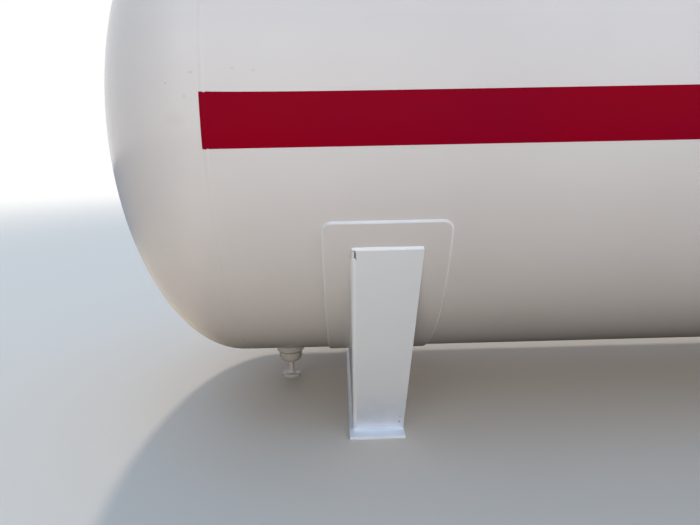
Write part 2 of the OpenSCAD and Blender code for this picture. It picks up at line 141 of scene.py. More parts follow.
def quads(rows, cols, wrap_rows=False):
    """Corner numbers of the quads in a grid of points, whose rows each close on themselves."""
    i = np.arange(rows if wrap_rows else rows - 1)[:, None]
    j = np.arange(cols)[None, :]
    below = (i + 1) % rows
    right = (j + 1) % cols
    corners = [i * cols + j, below * cols + j, below * cols + right, i * cols + right]
    return np.stack(corners, -1).reshape(-1, 4)


def outward(points, faces):
    """Faces of a closed skin, all turned over where its signed volume is below zero."""
    fans = [np.stack([f[:, 0], f[:, k], f[:, k + 1]], 1) for f in faces for k in range(1, f.shape[1] - 1)]
    a, b, c = points[np.concatenate(fans)].transpose(1, 0, 2)
    volume = np.einsum("ij,ij->", a, np.cross(b, c))
    return faces if volume > 0 else [f[:, ::-1] for f in faces]


def loft(rings, closed_path=False, ends="flat"):
    """Closed skin over a row of rings: quads between neighbours, and at both ends of an open path
    one flat face over the ring, or a fan of triangles round the ring's middle."""
    count, size = rings.shape[:2]
    points = rings.reshape(-1, 3)
    faces = [quads(count, size, closed_path)]
    first = np.arange(size)
    last = first + (count - 1) * size
    if not closed_path and ends == "flat":
        faces += [first[None, :], last[None, ::-1]]
    if not closed_path and ends == "fan":
        middles = np.stack([rings[0].mean(0), rings[-1].mean(0)])
        hub = len(points)
        points = np.concatenate([points, middles])
        faces.append(np.stack([first, np.roll(first, -1), np.full(size, hub)], 1))
        faces.append(np.stack([np.roll(last, -1), last, np.full(size, hub + 1)], 1))
    return points, outward(points, faces)


def repeated(patch, places, turns):
    """Copies of one patch, each turned about Z by its angle and moved to its place."""
    points, faces = patch
    c, s = np.cos(turns)[:, None], np.sin(turns)[:, None]
    x, y, z = points.T[:, None, :]
    turned_points = np.stack([x * c - y * s, x * s + y * c, z + 0 * c], -1) + places[:, None, :]
    shift = np.arange(len(places))[:, None, None] * len(points)
    return turned_points.reshape(-1, 3), [(f[None] + shift).reshape(-1, f.shape[1]) for f in faces]


def in_scene(name, data):
    """New object of a mesh, lamp or camera, linked to the scene."""
    made = bpy.data.objects.new(name, data)
    bpy.context.scene.collection.objects.link(made)
    return made


def make_piece(name, patches, material, slot, stands_for=(), crease=42):
    """One mesh object from patches of points and faces. It is smooth but for edges sharper than crease
    degrees, rides on the tank and stands for the CAD nodes named."""
    points, corners, sizes, base = [], [], [], 0
    for patch_points, faces in patches:
        points.append(patch_points)
        corners += [(f + base).ravel() for f in faces]
        sizes += [np.full(len(f), f.shape[1]) for f in faces]
        base += len(patch_points)
    points, corners, sizes = (np.concatenate(rows) for rows in (points, corners, sizes))
    mesh = bpy.data.meshes.new(name)
    mesh.vertices.add(len(points))
    mesh.vertices.foreach_set("co", points.astype(np.float32).ravel())
    mesh.loops.add(len(corners))
    mesh.loops.foreach_set("vertex_index", corners.astype(np.int32))
    mesh.polygons.add(len(sizes))
    mesh.polygons.foreach_set("loop_start", (np.cumsum(sizes) - sizes).astype(np.int32))
    mesh.update(calc_edges=True)
    mesh.validate()
    mesh.shade_smooth()
    mesh.set_sharp_from_angle(angle=np.radians(crease))
    mesh.materials.append(material)
    piece = in_scene(name, mesh)
    if slot is None:
        return
    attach(piece, "root")
    if stands_for:
        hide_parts(*stands_for)


# Shapes that several pieces share

def whole_turn(count):
    """Angles of a full turn at equal steps."""
    return np.linspace(0, TURN, count, endpoint=False)


def round_points(radius, angle, z, x=0.0):
    """Points at a radius, an angle and a height, about an upright line at x."""
    return np.stack([x + radius * np.cos(angle), radius * np.sin(angle), z + 0 * radius * angle], -1)


def unit(vectors):
    """Vectors scaled to length 1."""
    return vectors / np.linalg.norm(vectors, axis=-1, keepdims=True)


def tank_point(x, angle, radius):
    """Point at a radius from the tank's axis; the angle runs from the lowest line towards the front."""
    x, angle, radius = np.broadcast_arrays(x, angle, radius)
    return np.stack([x, -radius * np.sin(angle), AXIS_Z - radius * np.cos(angle)], -1)


def slow_waves(x, angle):
    """Sum of three long waves along and round the plate, each between -1 and 1, a third in weight."""
    first = np.sin(3.1 * x + 5 * angle + 0.4)
    second = np.sin(-5.3 * x + 3 * angle + 1.9)
    third = np.sin(8.9 * x + 7 * angle + 4.1)
    return (first + second + third) / 3


def skin_radius(x, angle):
    """Outside radius of the plate: the rolled circle with its slow waves, less a bell-shaped valley
    at each girth seam, where the weld drew the plate in."""
    valley = sum(np.exp(-((x - s) / PULL_REACH) ** 2) for s in SEAM_X)
    return SHELL_R + WAVE_H * slow_waves(x, angle) - WELD_PULL * valley


def on_plate(x, angle, lift):
    """Points at a height over the shell's plate."""
    return tank_point(x, angle, skin_radius(x, angle) + lift)


def girth_lift(x):
    """Height of the girth beads over the plate at x: a parabola as wide as the bead."""
    return sum(GIRTH_H * np.clip(1 - ((x - s) / (GIRTH_W / 2)) ** 2, 0, 1) for s in SEAM_X)


def ripple(length, pitch, seed):
    """Freeze lines of a weld along its length: a sharpened sine of the pitch plus two slow drifts."""
    lines = np.abs(np.sin(np.pi * length / pitch)) - 0.64
    drift = np.sin(length / (31 * MM) + seed) + np.sin(length / (77 * MM) + 2.7 * seed)
    return 0.6 * lines + 0.35 * drift


def bead_lift(lines):
    """Height of a bead over the plate: a parabola across it, less even by its freeze lines."""
    return GIRTH_H * (1 - BEAD_T ** 2) * (1 + 0.07 * lines)


def offset_outline(outline, inset):
    """Outline moved inwards by the inset: each point goes along the mitre of its two edges."""
    ahead = unit(np.roll(outline, -1, 0) - outline)
    behind = np.roll(ahead, 1, 0)
    inner = np.stack([-ahead[:, 1], ahead[:, 0]], 1)
    inner_behind = np.stack([-behind[:, 1], behind[:, 0]], 1)
    mitre = (inner + inner_behind) / (1 + np.sum(inner * inner_behind, 1, keepdims=True))
    area = np.sum(outline[:, 0] * np.roll(outline[:, 1], -1) - outline[:, 1] * np.roll(outline[:, 0], -1))
    return outline + np.sign(area) * inset * mitre


def plate(outline, thickness, origin, along_u, along_v):
    """Flat plate from a closed outline in u and v. Its edge is a quarter round, a straight side and
    a quarter round, carried along the outline; a narrow flat ring lies round both faces."""
    t = np.linspace(0, np.pi / 2, 4)
    inset = PLATE_EDGE * np.concatenate([[2], 1 - np.sin(t)])
    height = PLATE_EDGE * np.concatenate([[0], 1 - np.cos(t)])
    inset = np.concatenate([inset, inset[::-1]])
    height = np.concatenate([height, thickness - height[::-1]])
    flat = np.stack([offset_outline(np.asarray(outline, float), i) for i in inset])
    rings = origin + flat[..., :1] * along_u + flat[..., 1:] * along_v
    return loft(rings + height[:, None, None] * np.cross(along_u, along_v))


def spaced(path):
    """Points on a polyline at about equal steps, with their distance along it and the distances of
    its own corners."""
    path = np.asarray(path, float)
    lengths = np.concatenate([[0], np.cumsum(np.linalg.norm(np.diff(path, axis=0), axis=1))])
    at = np.linspace(0, lengths[-1], max(3, int(lengths[-1] / WELD_STEP) + 1))
    return np.stack([np.interp(at, lengths, path[:, k]) for k in range(3)], 1), at, lengths


def weld_rings(points, along_a, along_b, size):
    """Rings of a fillet weld: a face between a chord and a quarter round from plate a to plate b,
    with both toes and the root sunk a little into the plates."""
    a, b, size = along_a[:, None, :], along_b[:, None, :], size[:, None, None]
    middle = points[:, None, :]
    t = np.linspace(0, 1, 6)[None, :, None]
    face = middle + size * ((1 - t) * a + t * b) * (1.22 - 0.22 * (2 * t - 1) ** 2)
    sunk = 0.8 * MM
    toes = [middle - sunk * (a + b), middle + size * a - sunk * b, middle + size * b - sunk * a]
    return np.concatenate([toes[0], toes[1], face, toes[2]], 1)


def fillet(path, toward_a, toward_b, leg, seed):
    """Fillet weld in the corner of two plates, carried along the corner. Its leg swells and shrinks
    by the weld's ripple and tapers at both ends."""
    points, at, knots = spaced(path)
    along = []
    for direction in (toward_a, toward_b):
        direction = np.broadcast_to(direction, (len(knots), 3))
        along.append(unit(np.stack([np.interp(at, knots, direction[:, k]) for k in range(3)], 1)))
    taper = np.clip(np.minimum(at, at[-1] - at) / (1.5 * leg) + 0.45, 0, 1) ** 0.5
    size = leg * (1 + SWELL * ripple(at, WELD_PITCH, seed)) * taper
    return loft(weld_rings(points, *along, size), ends="fan")


def ring_weld(points, toward_a, toward_b, leg):
    """Fillet weld along a closed path of points, with a direction into each plate at every point."""
    length = np.linalg.norm(np.roll(points, -1, 0) - points, axis=1)
    at = np.cumsum(length) - length[0]
    whole = at[-1] + length[-1]
    lines = 0.6 * (np.abs(np.sin(np.pi * at / whole * round(whole / WELD_PITCH))) - 0.64)
    drift = 0.3 * np.sin(TURN * 3 * at / whole + 1)
    size = leg * (1 + SWELL * (lines + drift))
    return loft(weld_rings(points, unit(toward_a), unit(toward_b), size), closed_path=True)


def branch_weld(x, radius, skin, leg, upward=1):
    """Weld round an upright pipe or pad of a radius, on the cylinder of radius skin, above or below
    the tank's axis. The path is where both cylinders meet."""
    angle = whole_turn(int(TURN * radius / WELD_STEP))
    y = radius * np.sin(angle)
    rise = np.sqrt(skin ** 2 - y ** 2)
    points = round_points(radius, angle, AXIS_Z + upward * rise, x)
    out = np.stack([np.cos(angle), np.sin(angle), -upward * np.sin(angle) * y / rise], 1)
    up = np.stack([0 * y, 0 * y, upward + 0 * y], 1)
    return ring_weld(points, out, up, leg)


def flat_weld(x, radius, z, leg):
    """Weld round an upright pipe of a radius, under a flat face at height z."""
    out = round_points(1, whole_turn(int(TURN * radius / WELD_STEP)), 0)
    down = np.broadcast_to([0.0, 0.0, -1.0], out.shape)
    return ring_weld(np.array([x, 0, z]) + radius * out, out, down, leg)


def turned(profile, x):
    """Turned part: a closed outline of radius and height, carried round an upright line at x."""
    rings = round_points(profile[:, :1], whole_turn(TURNED_STEPS)[None, :], profile[:, 1:], x)
    return loft(rings, closed_path=True)


def chamfered(radii, angle, low, high, edge):
    """Upright bar through four rings: both ends, and the full outline an edge inside them."""
    z = np.array([low, low + edge, high - edge, high])[:, None]
    return loft(round_points(radii, angle, z))


def hexagon(across, low, high, edge):
    """Six-sided nut or head: 24 points a ring on a hexagon of the given width, and at both ends a
    round chamfer that only the corners reach."""
    angle = whole_turn(24)
    reach = (across / 2) / np.cos((angle + TURN / 12) % (TURN / 6) - TURN / 12)
    small = np.minimum(reach, across * 0.49)
    return chamfered(np.stack([small, reach, reach, small]), angle, low, high, edge)


def rod(diameter, low, high, edge, steps=20):
    """Round upright rod with chamfered ends."""
    radii = diameter / 2 - np.array([edge, 0, 0, edge])[:, None]
    return chamfered(radii, whole_turn(steps), low, high, edge)


def bolt_circle(x, circle, count):
    """Places round a circle about an upright line at x, the first half a pitch from the X axis."""
    return round_points(circle / 2, whole_turn(count) + TURN / count / 2, 0, x)


def stud_bolts(name, x, circle, count, size, across, low, high):
    """Studs with a nut and a washer at both ends, on a bolt circle between two outer faces. Each is
    turned by another angle, as hand-tightened nuts are."""
    nut, washer, over = 0.85 * size, 3 * MM, 5 * MM
    places = bolt_circle(x, circle, count)
    turns = NUT_TWIST * np.arange(count) ** 2
    parts = [rod(size, low - washer - nut - over, high + washer + nut + over, 2 * MM)]
    for base, way in ((low, -1), (high, 1)):
        ends = sorted((base, base + way * washer))
        parts.append(rod(1.9 * size, *ends, 0.6 * MM, 24))
        ends = sorted((base + way * washer, base + way * (washer + nut)))
        parts.append(hexagon(across, *ends, 1.5 * MM))
    make_piece(name, [repeated(part, places, turns) for part in parts], bolt_metal, "fitting_steel",
               crease=SMALL_CREASE)


def rounded_corner(corner, before, after, radius):
    """Points of an arc-like corner: a parabola between the two points at radius from the corner."""
    start = corner + radius * unit(before - corner)
    end = corner + radius * unit(after - corner)
    t = np.linspace(0, 1, CORNER_STEPS)[:, None]
    return (1 - t) ** 2 * start + 2 * t * (1 - t) * corner + t ** 2 * end


def softened(profile, radii):
    """Closed outline with each corner rounded by its own radius, or kept where that is 0."""
    profile = np.asarray(profile, float)
    out = []
    for k, radius in enumerate(radii):
        if radius == 0:
            out.append(profile[k:k + 1])
        else:
            out.append(rounded_corner(profile[k], profile[k - 1], profile[(k + 1) % len(profile)], radius))
    return np.concatenate(out)


def rounded_node(node, material):
    """Copy of a CAD node with its triangles merged into whole faces and a Bevel on its edges."""
    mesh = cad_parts[node].data.copy()
    work = bmesh.new()
    work.from_mesh(mesh)
    bmesh.ops.remove_doubles(work, verts=work.verts, dist=0.01 * MM)
    bmesh.ops.dissolve_limit(work, angle_limit=np.radians(0.6), verts=work.verts, edges=work.edges)
    work.to_mesh(mesh)
    work.free()
    mesh.shade_smooth()
    mesh.set_sharp_from_angle(angle=SHARP)
    mesh.materials.clear()
    mesh.materials.append(material)
    piece = in_scene(node + "_rounded", mesh)
    bevel = piece.modifiers.new("edge", "BEVEL")
    bevel.width = NODE_EDGE
    bevel.segments = 2
    bevel.limit_method = "ANGLE"
    bevel.angle_limit = SHARP
    bevel.harden_normals = True
    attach(piece, "root")
    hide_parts(node)


# Shader wiring

class Wiring:
    """Adds nodes to one tree. A value that is an output socket is joined, and any other is set."""

    def __init__(self, tree):
        """Starts with the tree, no nodes placed and no last node."""
        self.tree = tree
        self.count = 0
        self.last = None

    def node(self, kind, values=None, **settings):
        """New node with its settings, and its inputs by name or number."""
        made = self.tree.nodes.new(kind)
        made.location = (220 * (self.count % 9), -260 * (self.count // 9))
        self.count += 1
        for key, value in settings.items():
            setattr(made, key, value)
        for key, value in (values or {}).items():
            if isinstance(value, bpy.types.NodeSocket):
                self.tree.links.new(value, made.inputs[key])
            else:
                made.inputs[key].default_value = value
        return made

    def math(self, operation, a, b=0.0, c=0.0, clamp=False):
        """Result of a Math node."""
        made = self.node("ShaderNodeMath", {0: a, 1: b, 2: c}, operation=operation, use_clamp=clamp)
        return made.outputs[0]

    def vector(self, operation, a, b=(0, 0, 0)):
        """Result of a Vector Math node."""
        made = self.node("ShaderNodeVectorMath", {0: a, 1: b}, operation=operation)
        return made.outputs["Value" if operation == "LENGTH" else "Vector"]

    def steps(self, value, low, high, out_low=0.0, out_high=1.0):
        """Smooth step of a value from low to high, between two results."""
        ends = {"Value": value, "From Min": low, "From Max": high, "To Min": out_low, "To Max": out_high}
        return self.node("ShaderNodeMapRange", ends, interpolation_type="SMOOTHSTEP").outputs["Result"]

    def noise(self, where, scale, detail=2.0, roughness=0.5):
        """Noise at a place, from 0 to 1."""
        return self.node("ShaderNodeTexNoise", {"Vector": where, "Scale": scale, "Detail": detail,
                                                "Roughness": roughness}).outputs["Fac"]

    def blend(self, factor, a, b):
        """Colour between a and b. The Mix node has its colours at inputs 6 and 7 and output 2."""
        return self.node("ShaderNodeMix", {0: factor, 6: a, 7: b}, data_type="RGBA").outputs[2]

    def place(self):
        """Point in the shared frame, or the ray's direction in the world."""
        return self.node("ShaderNodeTexCoord").outputs["Object"]

    def part(self, vector, axis):
        """One of a vector's three numbers."""
        return self.node("ShaderNodeSeparateXYZ", {0: vector}).outputs[axis]

    def join(self, **ends):
        """Joins outputs to the last node's inputs, whose names have _ for a space."""
        for name, value in ends.items():
            self.tree.links.new(value, self.last.inputs[name.replace("_", " ")])


GROUPS = {}


def new_group(name, inputs, *results):
    """Shader node group with named inputs at their usual values, and results that are numbers.
    It is kept under its name; its wiring and what it is given come back."""
    group = GROUPS[name] = bpy.data.node_groups.new(name, "ShaderNodeTree")
    for socket, value in inputs.items():
        kind = "NodeSocketVector" if isinstance(value, tuple) else "NodeSocketFloat"
        group.interface.new_socket(socket, in_out="INPUT", socket_type=kind).default_value = value
    for socket in results:
        group.interface.new_socket(socket, in_out="OUTPUT", socket_type="NodeSocketFloat")
    wiring = Wiring(group)
    given = wiring.node("NodeGroupInput").outputs
    wiring.last = wiring.node("NodeGroupOutput")
    return wiring, given


def orange_peel():
    """Sprayed enamel: fine orange peel and broad patches where the coat lies thicker."""
    usual = {"Peel size": 220.0, "Patch size": 1.6, "Base roughness": 0.25, "Roughness spread": 0.1}
    w, given = new_group("orange_peel", usual, "Height", "Roughness", "Patch")
    where = w.place()
    peel = w.noise(where, given["Peel size"], 2.0)
    patch = w.noise(where, given["Patch size"], 4.0, 0.55)
    spread = w.math("MULTIPLY_ADD", w.math("SUBTRACT", patch, 0.5), given["Roughness spread"],
                    given["Base roughness"])
    w.join(Height=peel, Roughness=spread, Patch=patch)


def dust():
    """Dust that settles on faces that look up, thickest in a band over the floor, broken by noise."""
    usual = {"Splash height": 0.35, "Amount": 0.5, "Grain": 9.0}
    w, given = new_group("dust", usual, "Mask")
    where = w.place()
    normal = w.node("ShaderNodeNewGeometry").outputs["Normal"]
    up = w.steps(w.part(normal, "Z"), 0.35, 1.0)
    height = w.math("DIVIDE", w.part(where, "Z"), given["Splash height"])
    splash = w.math("SUBTRACT", 1.0, w.steps(height, 0.0, 1.0))
    broken = w.steps(w.noise(where, given["Grain"], 5.0, 0.6), 0.35, 0.75)
    laid = w.math("MULTIPLY", w.math("MAXIMUM", w.math("MULTIPLY", up, 0.6), splash), broken)
    w.join(Mask=w.math("MULTIPLY", laid, given["Amount"], clamp=True))


def rust_specks():
    """Pin-sized rust spots: cells of a Voronoi pattern near their centres, kept in a few patches."""
    usual = {"Cells": 30.0, "Spot size": 0.09, "Sparseness": 0.66}
    w, given = new_group("rust_specks", usual, "Mask")
    where = w.place()
    cells = w.node("ShaderNodeTexVoronoi", {"Vector": where, "Scale": given["Cells"]})
    spot = w.math("LESS_THAN", cells.outputs["Distance"], given["Spot size"])
    chosen = w.math("GREATER_THAN", w.noise(where, 3.1, 3.0, 0.6), given["Sparseness"])
    w.join(Mask=w.math("MULTIPLY", spot, chosen))


def soft_mark():
    """Soft elliptical mark round a centre: one at the centre, falling to nothing at the given reach."""
    usual = {"Centre": (0.0, 0.0, 0.0), "Reach": (0.1, 0.1, 0.1)}
    w, given = new_group("soft_mark", usual, "Mask")
    away = w.vector("SUBTRACT", w.place(), given["Centre"])
    share = w.vector("LENGTH", w.vector("DIVIDE", away, given["Reach"]))
    w.join(Mask=w.steps(share, 1.0, 0.15))


for make_group in (orange_peel, dust, rust_specks, soft_mark):
    make_group()


def emptied(owner):
    """Wiring of a material's or the world's node tree, emptied."""
    owner.use_nodes = True
    owner.node_tree.nodes.clear()
    return Wiring(owner.node_tree)


def new_material(name):
    """Empty material with its wiring, whose last node is a Principled one joined to the output."""
    material = bpy.data.materials.new(name)
    w = emptied(material)
    w.last = w.node("ShaderNodeBsdfPrincipled")
    w.node("ShaderNodeOutputMaterial", {"Surface": w.last.outputs[0]})
    return material, w


def placed(w, group, values):
    """One of the shared groups in a material, with its own values."""
    return w.node("ShaderNodeGroup", values, node_tree=GROUPS[group]).outputs


def bump(w, height, strength, distance):
    """Normal of a surface with small relief."""
    return w.node("ShaderNodeBump", {"Height": height, "Strength": strength,
                                     "Distance": distance}).outputs[0]


# Paints, dirt, and marks of painted light and shade

DUST_COLOUR = (0.42, 0.37, 0.30, 1)
RUST_COLOUR = (0.13, 0.045, 0.018, 1)
GREY_MARK = (0.40, 0.39, 0.37, 1)
# Near-black for the open joint beside the ribs' tops: painted shade in the narrow recess, on the saddle
# plates and on the wear plate behind them.
SLIT_PAINTED_SHADE = (0.05, 0.04, 0.035, 1)
# Bluish grey film on the saddles where dust lies: it is dust, given the blue-grey of painted sky-lit shade.
SADDLE_DUST_AND_PAINTED_SHADE = (0.46, 0.51, 0.58, 1)
# Blue-grey at the feet of the end ribs: painted shade near the floor.
FOOT_PAINTED_SHADE = (0.72, 0.775, 0.875, 1)
# Blue-grey at the feet of the saddle welds: painted shade near the floor.
WELD_FOOT_PAINTED_SHADE = (0.60, 0.69, 0.82, 1)
SLIT_X = -3.2255
# Pale blue-white along the wear plates' top edges: painted highlight of the sky.
WEAR_TOP_PAINTED_HIGHLIGHT = (0.85, 0.84, 0.88, 1)
# Light along the wear plates' side edges: painted light.
WEAR_SIDE_PAINTED_LIGHT = (0.90, 0.87, 0.86, 1)
FEW_SPECKS = 0.74


def enamel(name, colour, shade, roughness, dusty, marks=(), rust=0.0, gloss=0.5, film_colour=DUST_COLOUR):
    """Sprayed enamel: colour and a thinner shade of it in broad patches, a film, rust specks, and marks at
    chosen places, each with a centre, a reach, a weight and a colour, over orange peel. Some films and
    marks are painted light or shade."""
    material, w = new_material(name)
    coat = placed(w, "orange_peel", {"Base roughness": roughness})
    paint = w.blend(w.steps(coat["Patch"], 0.35, 0.7), colour, shade)
    for centre, reach, weight, mark_colour in marks:
        mark = placed(w, "soft_mark", {"Centre": centre, "Reach": reach})["Mask"]
        paint = w.blend(w.math("MULTIPLY", mark, weight), paint, mark_colour)
    film = placed(w, "dust", {"Amount": dusty})["Mask"]
    paint = w.blend(film, paint, film_colour)
    rough = w.math("MULTIPLY_ADD", film, 0.5, coat["Roughness"])
    if rust:
        specks = placed(w, "rust_specks", {"Sparseness": rust})["Mask"]
        paint = w.blend(specks, paint, RUST_COLOUR)
        rough = w.math("MULTIPLY_ADD", specks, 0.5, rough)
    normal = bump(w, coat["Height"], 0.08, 0.3 * MM)
    w.last.inputs["Specular IOR Level"].default_value = gloss
    w.join(Base_Color=paint, Roughness=rough, Normal=normal)
    return material


TANK_WHITE = (0.745, 0.690, 0.665, 1)
TANK_SHADE = (0.720, 0.665, 0.640, 1)
# The drain's white, darker than the tank's white that it really shares: painted shade under the tank.
DRAIN_WHITE_PAINTED_SHADE = (0.61, 0.575, 0.54, 1)
DRAIN_PATCH_PAINTED_SHADE = (0.57, 0.54, 0.505, 1)
SADDLE_WHITE = (0.88, 0.885, 0.90, 1)
SADDLE_SHADE = (0.85, 0.855, 0.875, 1)
# The base plates' white, bluer and brighter than the saddles' own enamel: painted sky light on the base
# plates.
BASE_PAINTED_LIGHT_WHITE = (0.90, 0.93, 0.99, 1)
BASE_PAINTED_LIGHT_PATCH = (0.87, 0.91, 0.97, 1)
# The saddle welds' white, brighter than the saddles' own enamel: painted light on the welds.
WELD_PAINTED_LIGHT_WHITE = (0.93, 0.92, 0.93, 1)
WELD_PAINTED_LIGHT_PATCH = (0.90, 0.89, 0.90, 1)
FITTING_GREY = (0.66, 0.67, 0.68, 1)
FITTING_SHADE = (0.60, 0.61, 0.62, 1)
STRIPE_RED = (0.30, 0.0003, 0.013, 1)
STRIPE_SHADE = (0.275, 0.0002, 0.016, 1)

# Grey marks on the shell near the left head: a row above the stripe, and a broad faint one over it.
TANK_MARKS = [(centre, reach, weight, GREY_MARK) for centre, reach, weight in (
    ((-3.787, -1.202, 1.676), (0.014, 0.03, 0.007), 0.30),
    ((-3.878, -1.197, 1.642), (0.008, 0.03, 0.006), 0.35),
    ((-3.642, -1.201, 1.687), (0.012, 0.03, 0.005), 0.25),
    ((-3.569, -1.202, 1.679), (0.010, 0.03, 0.005), 0.22),
    ((-3.850, -1.210, 1.516), (0.060, 0.05, 0.040), 0.10),
    ((-3.812, -1.211, 1.596), (0.007, 0.03, 0.010), 0.30),
)]


def on_saddles(y, z, reach, weight, colour, x=0.0):
    """The same mark on both saddles, mirrored across the tank and, where x is given, along it."""
    return [((side * SADDLE_X + way * x, way * y, z), reach, weight, colour)
            for side in (-1, 1) for way in (-1, 1)]


# Wear plate marks: painted highlight on the top edges, painted light on the side edges, and painted shade
# in the slot behind a rib's open joint.
WEAR_PAINTED_LIGHT_AND_SHADE = on_saddles(1.158, 1.137, (0.50, 0.030, 0.013), 0.9, WEAR_TOP_PAINTED_HIGHLIGHT)
WEAR_PAINTED_LIGHT_AND_SHADE += on_saddles(0, AXIS_Z, (0.012, 8, 8), 0.8, WEAR_SIDE_PAINTED_LIGHT, x=0.254)
WEAR_PAINTED_LIGHT_AND_SHADE.append(((SLIT_X, -1.112, 0.998), (0.006, 0.030, 0.034), 0.97, SLIT_PAINTED_SHADE))
# Two rust spots at a rib's foot, and two marks of painted shade in the open joint beside a rib's top.
SADDLE_RUST_AND_PAINTED_SHADE = [
    ((-3.006, -0.695, 0.065), (0.007, 0.02, 0.009), 0.75, RUST_COLOUR),
    ((-3.004, -0.711, 0.100), (0.005, 0.02, 0.006), 0.50, RUST_COLOUR),
    ((SLIT_X, -1.118, 0.987), (0.007, 0.025, 0.016), 0.97, SLIT_PAINTED_SHADE),
    ((SLIT_X, -1.126, 1.004), (0.006, 0.035, 0.026), 0.90, SLIT_PAINTED_SHADE),
]
# Marks of painted shade at the feet of the end ribs.
FOOT_PAINTED_SHADE_MARKS = on_saddles(0.70, 0.04, (0.40, 0.20, 0.36), 0.75, FOOT_PAINTED_SHADE)
WELD_FOOT_PAINTED_SHADE_MARKS = on_saddles(0.70, 0.01, (0.60, 0.12, 0.10), 0.95, WELD_FOOT_PAINTED_SHADE)

tank_paint = enamel("tank_enamel", TANK_WHITE, TANK_SHADE, 0.20, 0.06, TANK_MARKS, gloss=0.4)
# Tank enamel with the wear plates' painted light and shade.
wear_paint_with_painted_light = enamel("wear_plate_enamel_painted_light", TANK_WHITE, TANK_SHADE, 0.20, 0.06, WEAR_PAINTED_LIGHT_AND_SHADE, gloss=0.4)
drain_paint_with_painted_shade = enamel("drain_enamel_painted_shade", DRAIN_WHITE_PAINTED_SHADE, DRAIN_PATCH_PAINTED_SHADE, 0.32, 0.2, gloss=0.4)
# Saddle enamel with painted shade at the feet and in the open joints, rust spots, and a dust film in the
# blue-grey of painted shade.
saddle_paint = enamel("saddle_enamel_painted_shade", SADDLE_WHITE, SADDLE_SHADE, 0.36, 0.35, FOOT_PAINTED_SHADE_MARKS + SADDLE_RUST_AND_PAINTED_SHADE,
                      rust=FEW_SPECKS, gloss=0.3, film_colour=SADDLE_DUST_AND_PAINTED_SHADE)
base_paint_with_painted_light = enamel("base_enamel_painted_light", BASE_PAINTED_LIGHT_WHITE, BASE_PAINTED_LIGHT_PATCH, 0.34, 0.03, rust=FEW_SPECKS, gloss=0.3)
# Weld enamel: painted light over the welds, and painted shade at their feet.
weld_paint_with_painted_light = enamel("weld_enamel_painted_light", WELD_PAINTED_LIGHT_WHITE, WELD_PAINTED_LIGHT_PATCH, 0.32, 0.05, WELD_FOOT_PAINTED_SHADE_MARKS, gloss=0.3)
stripe_paint = enamel("stripe_enamel", STRIPE_RED, STRIPE_SHADE, 0.30, 0.0, gloss=0.02)
fitting_paint = enamel("fitting_enamel", FITTING_GREY, FITTING_SHADE, 0.38, 0.3, rust=0.66)


def grained(name, grain_size, dark, light, rough, relief, depth, metal=False):
    """Two greys mixed by a fine grain that also sets roughness and relief. Where metal has its grain
    light, its plating has turned white and it is no metal."""
    material, w = new_material(name)
    grain = w.noise(w.place(), grain_size, 3.0, 0.6)
    w.join(Base_Color=w.blend(grain, dark, light), Roughness=w.steps(grain, *rough),
           Normal=bump(w, grain, relief, depth))
    if metal:
        w.join(Metallic=w.steps(grain, 0.75, 0.5))
    return material


bolt_metal = grained("plated_bolts", 160.0, (0.42, 0.42, 0.41, 1), (0.62, 0.62, 0.60, 1),
                     (0.2, 0.8, 0.35, 0.6), 0.15, 0.2 * MM, metal=True)
gasket_sheet = grained("gasket_sheet", 700.0, (0.03, 0.03, 0.032, 1), (0.07, 0.07, 0.07, 1),
                       (0.0, 1.0, 0.75, 0.95), 0.3, 0.1 * MM)


# Shell courses and heads

def shell_course(node, x0, x1):
    """Rolled course: rings of skin_radius along the axis, closer near the seams, and a plain inner wall."""
    angle = whole_turn(AROUND)[None, :]
    t = np.linspace(0, 1, 46)
    x = (x0 + (x1 - x0) * (0.55 * (0.5 - 0.5 * np.cos(np.pi * t)) + 0.45 * t))[:, None]
    outer = on_plate(x, angle, 0)
    inner = tank_point(np.array([[x1], [x0]]), angle, SHELL_R - WALL)
    rings = np.concatenate([outer, inner])
    make_piece(node + "_skin", [loft(rings, closed_path=True)], tank_paint, "tank_paint", [node])


def head_skin(node, side):
    """Dished head: quarter of the inner ellipse moved out by the wall along its normal, a straight
    flange, and the inner wall back to the pole, carried round the axis."""
    inner_r = SHELL_R - WALL
    depth = HEAD_LENGTH - HEAD_FLANGE - WALL

    def ellipse(t, out_by):
        """Radius and depth along the ellipse, moved out along its normal."""
        normal = unit(np.stack([depth * np.cos(t), inner_r * np.sin(t)], 1))
        return np.stack([inner_r * np.cos(t), depth * np.sin(t)], 1) + out_by * normal

    outer = ellipse(np.linspace(np.pi / 2 - 0.008, 0, 60), WALL)
    inner = ellipse(np.linspace(0, np.pi / 2 - 0.02, 24), 0)
    flange_out = np.stack([np.full(6, SHELL_R), np.linspace(-HEAD_FLANGE * 0.1, -HEAD_FLANGE, 6)], 1)
    flange_in = np.array([[inner_r, -HEAD_FLANGE], [inner_r, -HEAD_FLANGE * 0.2]])
    profile = np.concatenate([outer, flange_out, flange_in, inner])
    radius, out = profile[:, :1], profile[:, 1:] + HEAD_FLANGE
    x = side * (SEAM_X[3] + out)
    angle = whole_turn(AROUND)[None, :]
    is_outer = (np.arange(len(profile)) < len(outer) + len(flange_out))[:, None]
    waves = (skin_radius(x, angle) - SHELL_R) * (radius / SHELL_R) ** 2
    rings = tank_point(x, angle, radius + np.where(is_outer, waves, 0))
    make_piece(node + "_skin", [loft(rings, ends="fan")], tank_paint, "tank_paint", [node])


